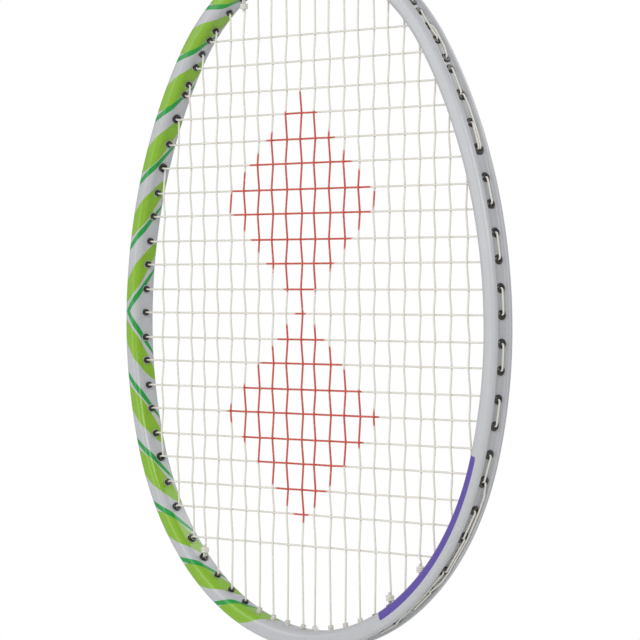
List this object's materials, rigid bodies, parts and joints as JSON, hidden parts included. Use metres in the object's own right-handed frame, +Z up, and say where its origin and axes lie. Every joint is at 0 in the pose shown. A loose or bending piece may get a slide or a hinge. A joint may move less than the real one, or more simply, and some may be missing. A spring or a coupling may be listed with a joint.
{
  "type": "badminton racket",
  "caption": "Strung badminton racket with an oval carbon head, drilled hoop with grommets, two woven strings, slim shaft and wrapped octagonal handle.",
  "frame": {"origin": "middle of the butt end's underside box, on the shaft's axis", "axes": "+Z up the shaft to the top of the head; the strings lie in the XZ plane; the front looks along -Y"},
  "size_m": [0.2034, 0.0306, 0.675],
  "materials": {
    "painted_hoop": "pearl lacquer with lime, green and violet bands",
    "painted_shaft": "pearl lacquer",
    "bare_carbon": "moulded carbon, bare",
    "black_nylon": "polished nylon",
    "clear_nylon": "translucent nylon",
    "string": "coated multifilament nylon",
    "cone_plastic": "satin",
    "core_wood": "sanded",
    "butt_plastic": "fine texture",
    "grip": "soft perforated polyurethane",
    "tape": "smooth vinyl tape",
    "steel": "plain"
  },
  "bodies": {
    "root": {"head_frame": "painted_hoop", "t_joint": "painted_hoop", "t_joint_core": "bare_carbon", "shaft": "painted_shaft", "grommets_cross_left": "black_nylon", "grommets_cross_right": "black_nylon", "grommets_main_top": "black_nylon", "grommets_main_foot": "black_nylon", "grommets_shared_left": "black_nylon", "grommets_shared_right": "black_nylon", "grommets_tie_off": "black_nylon", "grommets_clear_top": "clear_nylon", "grommets_clear_foot": "clear_nylon", "main_string": "string", "cross_string": "string", "main_string_knots": "string", "cross_string_knots": "string", "cone_cap": "cone_plastic", "handle_core": "core_wood", "butt_plate": "butt_plastic", "grip_band": "grip", "finishing_tape": "tape", "grip_tacks": "steel"}
  },
  "joints": []
}
